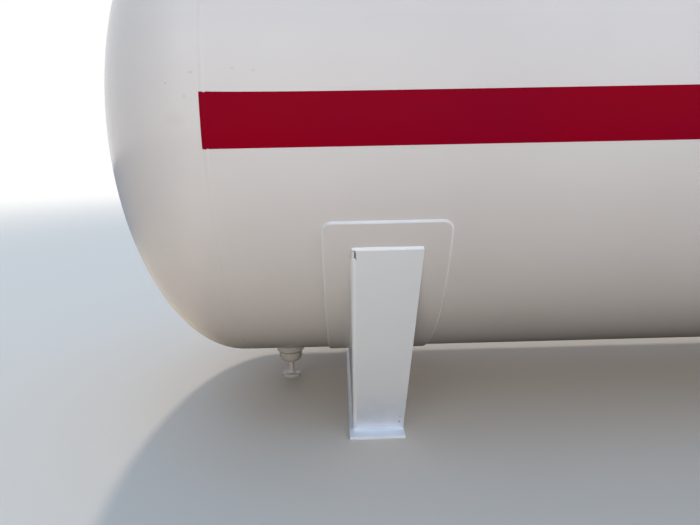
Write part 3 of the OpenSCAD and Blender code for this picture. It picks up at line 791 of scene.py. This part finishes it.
def girth_bead(node, seam):
    """Girth weld: a low parabola over the plate, closed under it, carried round the seam with its
    freeze lines and a slight wander."""
    angle = whole_turn(GIRTH_STEPS)[:, None]
    lines = ripple(angle * SHELL_R, TURN * SHELL_R / GIRTH_LINES, seam)
    across = BEAD_T * GIRTH_W / 2 * (1 + 0.03 * lines)
    wander = 0.5 * MM * np.sin(angle * 23 + seam)
    top = on_plate(SEAM_X[seam] + across + wander, angle, bead_lift(lines) + 0.03 * MM)
    low = on_plate(SEAM_X[seam] + np.array([[0.5, -0.5]]) * GIRTH_W, angle, -SUNK)
    rings = np.concatenate([top, low], 1)
    make_piece(node + "_bead", [loft(rings, closed_path=True)], tank_paint, "tank_paint", [node])


for number, node in enumerate(COURSES):
    shell_course(node, SEAM_X[number], SEAM_X[number + 1])
head_skin("head_left", -1)
head_skin("head_right", 1)
for seam, bead in enumerate(("weld_head_left", "weld_course_left", "weld_course_right", "weld_head_right")):
    girth_bead(bead, seam)


# Stripe

def stripe_film(node, side):
    """Painted film over plate and beads: a thin section across the stripe, carried along the tank.
    Its masked upper edge runs up a little towards both ends, and paint crept under the tape there."""
    end = SEAM_X[3] + GIRTH_W / 2 + 3.5 * MM
    x = np.unique(np.concatenate([np.linspace(-end, end, 360)]
                                 + [s + np.linspace(-GIRTH_W, GIRTH_W, 25) for s in SEAM_X]))
    x = x[np.abs(x) <= end][:, None]
    t = np.linspace(-1, 1, 15)
    round_trip = np.concatenate([t, t[::-1]])
    bleed = 2.5 * MM * np.exp(-((np.abs(x) - end + 12 * MM) / (5 * MM)) ** 2)
    slant = 7 * MM * np.exp((np.abs(x) - end) / (220 * MM)) * np.clip(round_trip, 0, 1)
    height = round_trip * (STRIPE_H / 2 + bleed) + slant
    lift = np.concatenate([FILM * (1 - t ** 20), np.full(len(t), -0.5 * MM)])
    angle = side * (np.pi / 2 + height / SHELL_R)
    rings = on_plate(x, angle, girth_lift(x) + lift)
    make_piece(node + "_film", [loft(rings)], stripe_paint, "stripe_paint", [node])


stripe_film("stripe_front", 1)
stripe_film("stripe_back", -1)


# Saddles

foot_drop = AXIS_Z - BASE_T
foot_dist = np.hypot(RIB_FOOT_Y, foot_drop)
touch = np.arctan(RIB_FOOT_Y / foot_drop) + np.arccos(WEAR_R / foot_dist)
RIB_LENGTH = np.sqrt(foot_dist ** 2 - WEAR_R ** 2) + RIB_REACH
rib_up = np.array([np.cos(touch), np.sin(touch)])
rib_out = np.array([np.sin(touch), -np.cos(touch)])
foot_in = np.array([RIB_FOOT_Y, BASE_T])
top_in = foot_in + RIB_LENGTH * rib_up
top_out = top_in + RIB_T * rib_out
foot_out = np.array([RIB_FOOT_Y + RIB_T / np.sin(touch), BASE_T])


def at_saddle(patch, side):
    """Patch of the left saddle, drawn about x = 0, taken to the place of the saddle on a side."""
    points, faces = patch
    points = points * [-side, 1, 1] + np.array([side * SADDLE_X, 0, 0])
    return points, outward(points, faces)


def leaning(points, face):
    """Drawing of distance along X, height up the rib's slope and depth inwards, laid on an end rib."""
    x, up, deep = np.moveaxis(points, -1, 0)
    y = foot_out[0] + up * rib_up[0] - deep * rib_out[0]
    z = foot_out[1] + up * rib_up[1] - deep * rib_out[1]
    return np.stack([x, face * y, z], -1)


def end_rib(face):
    """Leaning rib: a plate that widens from foot to top. It starts beside the web's end edge."""
    slope_len = np.linalg.norm(top_out - foot_out)
    outline = [[WEB_BACK + ROOT_GAP, 0], [WEB_BACK + RIB_FOOT_W, 0], [WEB_BACK + RIB_TOP_W, slope_len],
               [WEB_BACK + ROOT_GAP, slope_len]]
    laid, faces = plate(outline, RIB_T, np.zeros(3), [1, 0, 0], [0, 1, 0])
    laid = leaning(laid, face)
    laid[:, 2] = np.maximum(laid[:, 2], BASE_T)
    return laid, outward(laid, faces)


def web_plate():
    """Upright plate: straight foot and leaning ends, and an arc along the wear plate. Its tips end
    a little below the ribs' tops."""
    angle = np.linspace(-touch, touch, 97)
    arc = np.stack([WEAR_R * np.sin(angle), AXIS_Z - WEAR_R * np.cos(angle)], 1)
    tip_out, tip_in = (top - 5 * MM * rib_up for top in (top_out, top_in))
    mirror = np.array([-1, 1])
    right = np.stack([[foot_out[0], BASE_T], tip_out, tip_in])
    outline = np.concatenate([right, arc[::-1], (right * mirror)[::-1]])
    return plate(outline, WEB_T, np.array([WEB_FRONT, 0, 0]), [0, 1, 0], [0, 0, 1])


def inner_rib(y):
    """Upright rib between web and wear plate, its top cut along the wear plate's underside."""
    top = AXIS_Z - np.sqrt(WEAR_R ** 2 - y ** 2)
    widen = (RIB_TOP_W - RIB_FOOT_W) * (top - BASE_T) / (top_in[1] - BASE_T)
    foot_end = WEB_BACK + RIB_FOOT_W
    outline = [[WEB_BACK, BASE_T], [foot_end, BASE_T], [foot_end + widen, top], [WEB_BACK, top]]
    return plate(outline, RIB_T, np.array([0, y + RIB_T / 2, 0]), [1, 0, 0], [0, 0, 1])


def wear_plate():
    """Bent plate with rounded corners and the fillet weld round it, as one height over the shell:
    rings at set distances from the outline carry the weld, the edge and its rounding, and straight
    strips along X close the face between the two long sides."""
    half_w, half_s = WEAR_W / 2, WEAR_ANGLE * SHELL_R
    leg, edge = 6 * MM, 1.5 * MM
    quarter = np.linspace(np.pi / 2, 0, 9)
    sides = np.linspace(half_s - WEAR_CORNER, -(half_s - WEAR_CORNER), 150)[1:-1]
    depth = np.array([-leg, -leg, -0.72 * leg, -0.35 * leg, 0, 0.05 * MM, 0.3 * edge, edge, edge + 2 * MM])
    lift = np.array([-1 * MM, 0.1 * MM, 0.42 * leg, 0.78 * leg, leg * 0.98,
                     WEAR_T - edge, WEAR_T - 0.35 * edge, WEAR_T, WEAR_T])
    rings = []
    for d, h in zip(depth, lift):
        r = WEAR_CORNER - d
        corner_w = half_w - WEAR_CORNER + r * np.cos(quarter)
        corner_s = half_s - WEAR_CORNER + r * np.sin(quarter)
        width = np.concatenate([corner_w, np.full(len(sides), half_w - d), corner_w[::-1]])
        along = np.concatenate([corner_s, sides, -corner_s[::-1]])
        x = np.concatenate([-width, width[::-1]])
        s = np.concatenate([along, along[::-1]])
        rings.append(tank_point(x, s / SHELL_R, SHELL_R + h))
    rings = np.stack(rings)
    count, size = rings.shape[:2]
    n = size // 2
    left = np.arange(n)
    right = size - 1 - left
    strips = np.stack([left[:-1], left[1:], right[1:], right[:-1]], 1)
    faces = [quads(count, size), strips, strips[:, ::-1] + (count - 1) * size]
    points = rings.reshape(-1, 3)
    return points, outward(points, faces)


def along_x(x0, x1, y, z):
    """Edge along X at a place across and a height."""
    return np.array([[x0, y, z], [x1, y, z]])


def saddle_welds():
    """Fillet welds of the left saddle, about x = 0: web to wear plate and base, ribs to all three."""
    leg = 7 * MM
    angle = np.linspace(-touch + 0.01, touch - 0.01, 90)
    radial = np.stack([0 * angle, np.sin(angle), -np.cos(angle)], 1)
    arc = radial * WEAR_R + np.array([0, 0, AXIS_Z])
    seams = []
    for x, way, seed in ((WEB_FRONT, -1, 0.3), (WEB_BACK, 1, 1.1)):
        seams.append(fillet(arc + [x, 0, 0], [way, 0, 0], radial, 5 * MM, seed))
        foot = [[x, -RIB_FOOT_Y, BASE_T], [x, RIB_FOOT_Y, BASE_T]]
        seams.append(fillet(foot, [way, 0, 0], [0, 0, 1], leg, seed + 2))
    rib_end = WEB_BACK + RIB_FOOT_W
    for i, y in enumerate(INNER_RIB_Y):
        for way in (-1, 1):
            edge_y = y + way * RIB_T / 2
            top = AXIS_Z - np.sqrt(WEAR_R ** 2 - edge_y ** 2)
            slope = np.array([0, edge_y, top - AXIS_Z]) / WEAR_R
            foot = along_x(WEB_BACK, rib_end, edge_y, BASE_T)
            head = along_x(WEB_BACK, rib_end, edge_y, top)
            edges = ((foot, [0, 0, 1]), (np.stack([foot[0], head[0]]), [1, 0, 0]), (head, slope))
            seams += [fillet(edge, [0, way, 0], onto, leg, i + way + k)
                      for k, (edge, onto) in enumerate(edges)]
    for face in (-1, 1):
        across = np.array([0, face * rib_out[0], rib_out[1]])
        upward = np.array([0, face * rib_up[0], rib_up[1]])
        outer_y, inner_y, top_y = face * np.array([foot_out[0], foot_in[0], top_in[0]])
        corner_y, corner_z = foot_in + (RIB_LENGTH - SLIT_H) * rib_up
        top_edge = along_x(WEB_FRONT + 1 * MM, WEB_BACK + RIB_TOP_W - 1 * MM, top_y, top_in[1])
        corner = [[WEB_BACK, inner_y, BASE_T], [WEB_BACK, face * corner_y, corner_z]]
        seams += [
            fillet(along_x(WEB_FRONT, rib_end, outer_y, BASE_T), [0, face, 0], upward, 5 * MM, 4.0 + face),
            fillet(along_x(WEB_BACK, rib_end, inner_y, BASE_T), [0, -face, 0], upward, leg, 5.0 + face),
            fillet(top_edge, across, upward, 8 * MM, 6.0 + face),
            fillet(corner, -across, [1, 0, 0], leg, 7.0 + face),
            corner_cap(face)]
    return seams


def corner_cap(face):
    """Cap weld on the joint of rib and web, seen from outside: a low round section as wide as the
    web's edge, from the foot to a little below the top, where the open joint shows."""
    length = RIB_LENGTH - SLIT_H
    at = np.arange(0, length, 2.5 * MM)
    lines = ripple(at, 6 * MM, 3.3 + face)[:, None]
    fade = np.clip((length - at) / (7 * MM), 0.1, 1)[:, None] ** 0.5
    left = WEB_FRONT + 1.5 * MM
    width = WEB_T + ROOT_GAP
    across = left + width * (0.5 + 0.5 * BEAD_T * (1 + 0.04 * lines) * (0.5 + 0.5 * fade))
    lift = 2.6 * MM * (1 - BEAD_T ** 2) * (1 + 0.16 * lines) * fade + 0.05 * MM
    up = np.broadcast_to(at[:, None], across.shape)
    top = np.stack([across, up, -lift], -1)
    low = np.stack([across[:, ::6][:, ::-1], up[:, :2], np.full((len(at), 2), 1.5 * MM)], -1)
    return loft(leaning(np.concatenate([top, low], 1), face), ends="fan")


for side, word in ((-1, "left"), (1, "right")):
    web = at_saddle(web_plate(), side)
    make_piece(word + "_web_cut", [web], saddle_paint, "saddle_paint", [word + "_web"])
    for face, end in ((-1, "front"), (1, "back")):
        node = f"{word}_{end}_rib"
        rib = at_saddle(end_rib(face), side)
        make_piece(node + "_leaning", [rib], saddle_paint, "saddle_paint", [node])
    inner = [at_saddle(inner_rib(y), side) for y in INNER_RIB_Y]
    make_piece(word + "_inner_ribs_cut", inner, saddle_paint, "saddle_paint", [word + "_inner_ribs"])
    bent = at_saddle(wear_plate(), side)
    make_piece(word + "_wear_plate_bent", [bent], wear_paint_with_painted_light, "tank_paint", [word + "_wear_plate"])
    welds = [at_saddle(weld, side) for weld in saddle_welds()]
    make_piece(word + "_saddle_welds", welds, weld_paint_with_painted_light, "saddle_paint")


# Seams along the courses, drain, bolts and the welds of the fittings

def long_seam(name, number, degrees):
    """Weld along a course at an angle: a low parabola over the plate with its freeze lines."""
    x0, x1 = SEAM_X[number] + GIRTH_W / 2, SEAM_X[number + 1] - GIRTH_W / 2
    at = np.linspace(x0, x1, 620)[:, None]
    lines = ripple(at, (x1 - x0) / 309, number + 0.5)
    angle = np.radians(degrees) + BEAD_T * LONG_SEAM_HALF / SHELL_R * (1 + 0.03 * lines)
    top = on_plate(at, angle, bead_lift(lines))
    low_angle = np.radians(degrees) + np.array([[1, -1]]) * LONG_SEAM_HALF / SHELL_R
    low = on_plate(at, low_angle, -SUNK)
    make_piece(name, [loft(np.concatenate([top, low], 1))], tank_paint, "tank_paint")


for number, (word, degrees) in enumerate(SEAM_TURN.items()):
    long_seam(f"long_seam_{word}", number, degrees)


def drain_bowl():
    """Turned body of the drain: a raised face, a nearly straight side with a broad round below, and
    the narrow outlet pipe with a flare of weld on its flange."""
    shoulder, low = REDUCER_TOP_Z - FACE_H, REDUCER_TOP_Z - 60 * MM
    bore, pipe, top_r, low_r = 13 * MM, 17 * MM, 71 * MM, 66 * MM
    corners = [[bore, OUTLET_TOP_Z], [pipe + 8 * MM, OUTLET_TOP_Z], [pipe, OUTLET_TOP_Z + 10 * MM],
               [pipe, low], [low_r, low], [top_r, shoulder - 6 * MM], [top_r, shoulder],
               [FACE_R, shoulder], [FACE_R, REDUCER_TOP_Z], [bore, REDUCER_TOP_Z]]
    radii = np.array([0, 0, 6, 5, 26, 4, 1.5, 0, 0.5, 0]) * MM
    return turned(softened(corners, radii), DRAIN_X)


def drain_neck():
    """Turned neck of the drain: a thick flange with a raised face, a hub and the pipe into the shell."""
    bore, pipe, hub, rim = 23 * MM, PIPE_R, 38 * MM, 82.5 * MM
    low, back = DRAIN_JOINT_Z + FACE_H, DRAIN_JOINT_Z + NECK_FLANGE_T
    corners = [[bore, DRAIN_JOINT_Z], [FACE_R, DRAIN_JOINT_Z], [FACE_R, low], [rim, low], [rim, back],
               [hub, back], [pipe, back + 28 * MM], [pipe, NECK_TOP_Z], [bore, NECK_TOP_Z]]
    radii = np.array([0, 0.5, 0, 7, 2.5, 4, 0, 0, 0]) * MM
    return turned(softened(corners, radii), DRAIN_X)


make_piece("drain_bowl", [drain_bowl()], drain_paint_with_painted_shade, "tank_paint", ["drain_reducer"])
make_piece("drain_neck_turned", [drain_neck()], drain_paint_with_painted_shade, "tank_paint", ["drain_neck"])
back = DRAIN_JOINT_Z + NECK_FLANGE_T
screw_head = hexagon(18 * MM, back, back + 8 * MM, 1 * MM)
screws = repeated(screw_head, bolt_circle(DRAIN_X, 110 * MM, 4), [0.1, 0.6, 0.9, 0.3])
make_piece("drain_screws", [screws], bolt_metal, "fitting_steel", crease=SMALL_CREASE)

for name in NOZZLES:
    stud_bolts(name.replace("nozzle", "studs"), middle_x(name), 125 * MM, 4, 16 * MM, 24 * MM,
               box_of(name)[1][2] - 20 * MM, box_of(name.replace("nozzle", "blind"))[1][2])
stud_bolts("manway_studs", MANWAY_X, 650 * MM, 20, 30 * MM, 46 * MM,
           box_of("manway_flange")[0][2], box_of("manway_cover")[1][2])


def fitting_welds():
    """Welds of the nozzles, the drain, the manway with its pad, and the lifting lugs."""
    seams = [branch_weld(middle_x(name), PIPE_R, SHELL_R, PIPE_LEG) for name in NOZZLES]
    seams += [branch_weld(DRAIN_X, PIPE_R, SHELL_R, PIPE_LEG, upward=-1),
              branch_weld(MANWAY_X, PAD_R, SHELL_R, PAD_LEG),
              branch_weld(MANWAY_X, MANWAY_R, SHELL_R + PAD_T, PAD_LEG),
              flat_weld(MANWAY_X, MANWAY_R, box_of("manway_flange")[0][2], 8 * MM)]
    for word in ("left", "right"):
        low, high = box_of(word + "_lifting_lug")
        for way, y in ((-1, low[1]), (1, high[1])):
            top = AXIS_Z + np.sqrt(SHELL_R ** 2 - y ** 2)
            edge = along_x(low[0], high[0], y, top)
            seams.append(fillet(edge, [0, way, 0], [0, 0, 1], LUG_LEG, way + high[0]))
        for way, x in ((-1, low[0]), (1, high[0])):
            edge = [[x, low[1], TOP_Z], [x, high[1], TOP_Z]]
            seams.append(fillet(edge, [way, 0, 0], [0, 0, 1], LUG_LEG, way + x))
    return seams


make_piece("fitting_welds", fitting_welds(), tank_paint, "tank_paint")


# Finishes of the CAD nodes that stay, each with rounded edges

FINISHES = (
    (base_paint_with_painted_light, "left_base_plate right_base_plate"),
    (drain_paint_with_painted_shade, "drain_outlet_flange"),
    (tank_paint, "manway_pad manway_neck manway_flange manway_cover"),
    (fitting_paint, "manway_handles"),
    (tank_paint, "manway_davit_bracket"),
    (fitting_paint, "manway_davit_arm manway_cover_ring"),
    (tank_paint, "vapour_nozzle liquid_nozzle gauge_nozzle relief_nozzle"),
    (fitting_paint, "vapour_blind liquid_blind gauge_blind relief_blind"),
    (tank_paint, "left_lifting_lug right_lifting_lug"),
    (gasket_sheet, "gaskets"),
)
for material, nodes in FINISHES:
    for node in nodes.split():
        rounded_node(node, material)


# Floor, light and camera

WHITE = (1, 1, 1, 1)
FLOOR_COLOUR = (0.76, 0.67, 0.58, 1)
# Colours the floor gives back to other surfaces: painted shadow under the tank, painted sunlight beside it
# and at the left head, painted shade past the head.
FLOOR_BOUNCE_PAINTED_SHADOW = (0.07, 0.065, 0.055, 1)
FLOOR_BOUNCE_PAINTED_SUNLIGHT = (0.88, 0.77, 0.66, 1)
FLOOR_BOUNCE_PAINTED_SUNLIGHT_AT_HEAD = (0.98, 0.75, 0.53, 1)
FLOOR_BOUNCE_PAINTED_SHADE = (0.30, 0.30, 0.31, 1)
SKY_FLOOR_LINE = (2.2, 1.92, 1.62, 1)
SKY_LOW = (2.36, 2.13, 1.93, 1)
SKY_HIGH = (0.38, 0.67, 1.05, 1)
SKY_LEFT = (0.03, 0.07, 0.13, 1)
SUN_COLOUR = (1.0, 0.96, 0.90)
FRONT_COLOUR = (1.0, 0.90, 0.60)
FILM_WIDTH = 36
PICTURE_WIDTH = 700
FOCAL_PIXELS = 527.376
CAMERA_TURNS = (1.006, 11.424, 1.1615)


def ray_is(w, *kinds):
    """1 for rays of the kinds named, else 0."""
    rays = w.node("ShaderNodeLightPath").outputs
    seen = rays[kinds[0]]
    for kind in kinds[1:]:
        seen = w.math("MAXIMUM", seen, rays[kind])
    return seen


def studio_floor():
    """Round floor as rings on the plane z = 0, plain and pale to the camera and fading to white far
    away. It gives back little light under the tank, much beside it and at the left head, and less
    again past that: painted shadow under the tank, painted sunlight beside it and at the head, painted
    shade past it."""
    material = bpy.data.materials.new("studio_floor")
    w = emptied(material)
    seen = ray_is(w, "Is Camera Ray", "Is Transmission Ray")
    x, y = w.part(w.place(), "X"), w.part(w.place(), "Y")
    bounce = w.blend(w.steps(w.math("ABSOLUTE", y), 2.4, 4.6), FLOOR_BOUNCE_PAINTED_SHADOW, FLOOR_BOUNCE_PAINTED_SUNLIGHT)
    bounce = w.blend(w.steps(x, -3.8, -4.7), bounce, FLOOR_BOUNCE_PAINTED_SUNLIGHT_AT_HEAD)
    bounce = w.blend(w.steps(x, -5.6, -8.0), bounce, FLOOR_BOUNCE_PAINTED_SHADE)
    colour = w.blend(seen, bounce, FLOOR_COLOUR)
    near = w.node("ShaderNodeBsdfDiffuse", {"Color": colour}).outputs[0]
    white = w.node("ShaderNodeEmission", {"Color": WHITE, "Strength": 1.0}).outputs[0]
    far = w.steps(w.vector("LENGTH", w.place()), 9.0, 24.0)
    mixed = w.node("ShaderNodeMixShader", {0: w.math("MULTIPLY", far, seen), 1: near, 2: white})
    w.node("ShaderNodeOutputMaterial", {"Surface": mixed.outputs[0]})
    rings, around = 24, 96
    points = round_points(np.linspace(0, 60, rings + 1)[1:, None], whole_turn(around)[None, :], 0)
    faces = [quads(rings, around), np.arange(around)[None, :]]
    make_piece("studio_floor", [(points.reshape(-1, 3), faces)], material, None)


def studio_world():
    """Soft sky: bluish overhead, bright and warm low down, dim on the left, and plain white to camera,
    gloss and glass."""
    world = bpy.data.worlds.new("studio")
    w = emptied(world)
    up, side = w.part(w.place(), "Z"), w.part(w.place(), "X")
    sky = w.blend(w.steps(up, 0.0, 0.66), SKY_LOW, SKY_HIGH)
    sky = w.blend(w.steps(up, 0.0, 0.16), SKY_FLOOR_LINE, sky)
    sky = w.blend(w.steps(side, -0.2, -0.9), sky, SKY_LEFT)
    seen = ray_is(w, "Is Camera Ray", "Is Glossy Ray", "Is Transmission Ray")
    colour = w.blend(seen, sky, WHITE)
    back = w.node("ShaderNodeBackground", {"Color": colour, "Strength": 1.0})
    w.node("ShaderNodeOutputWorld", {"Surface": back.outputs[0]})
    bpy.context.scene.world = world


def aim(name, data, right, up, back, place):
    """Puts a lamp or camera in the scene, with its own X, Y and Z to the right, up and back."""
    holder = in_scene(name, data)
    holder.matrix_world = Matrix([*np.column_stack([right, up, back, place]).tolist(), [0, 0, 0, 1]])
    return holder


def soft_sun(name, energy, width, colour, elevation, swing):
    """Sun lamp of an angular width. It stands at an elevation, and its swing runs from +Y to -X."""
    lamp = bpy.data.lights.new(name, "SUN")
    lamp.energy = energy
    lamp.angle = np.radians(width)
    lamp.color = colour
    elevation, swing = np.radians(elevation), np.radians(swing)
    level = np.cos(elevation)
    towards = np.array([-np.sin(swing) * level, np.cos(swing) * level, np.sin(elevation)])
    right = unit(np.cross([0, 0, 1], towards))
    aim(name, lamp, right, np.cross(towards, right), towards, 4 * towards)


def camera():
    """Camera at the photograph's place: forward from yaw and pitch, then rolled about its own axis."""
    yaw, pitch, roll = np.radians(CAMERA_TURNS)
    forward = np.array([np.sin(yaw) * np.cos(pitch), np.cos(yaw) * np.cos(pitch), -np.sin(pitch)])
    level = np.array([np.cos(yaw), -np.sin(yaw), 0])
    down = np.cross(forward, level)
    right = np.cos(roll) * level + np.sin(roll) * down
    low = -np.sin(roll) * level + np.cos(roll) * down
    data = bpy.data.cameras.new("view")
    data.sensor_width = FILM_WIDTH
    data.lens = FILM_WIDTH * FOCAL_PIXELS / PICTURE_WIDTH
    data.clip_start, data.clip_end = 0.05, 200
    place = [SEAM_X[0] + 0.4695, -3.134, 1.3805]
    bpy.context.scene.camera = aim("view", data, right, -low, -forward, place)


studio_floor()
studio_world()
soft_sun("sun_behind", 0.9, 3, SUN_COLOUR, 56, 8)
soft_sun("broad_light_in_front", 0.42, 60, FRONT_COLOUR, 14, 165)
camera()
bpy.context.scene.view_settings.view_transform = "Standard"
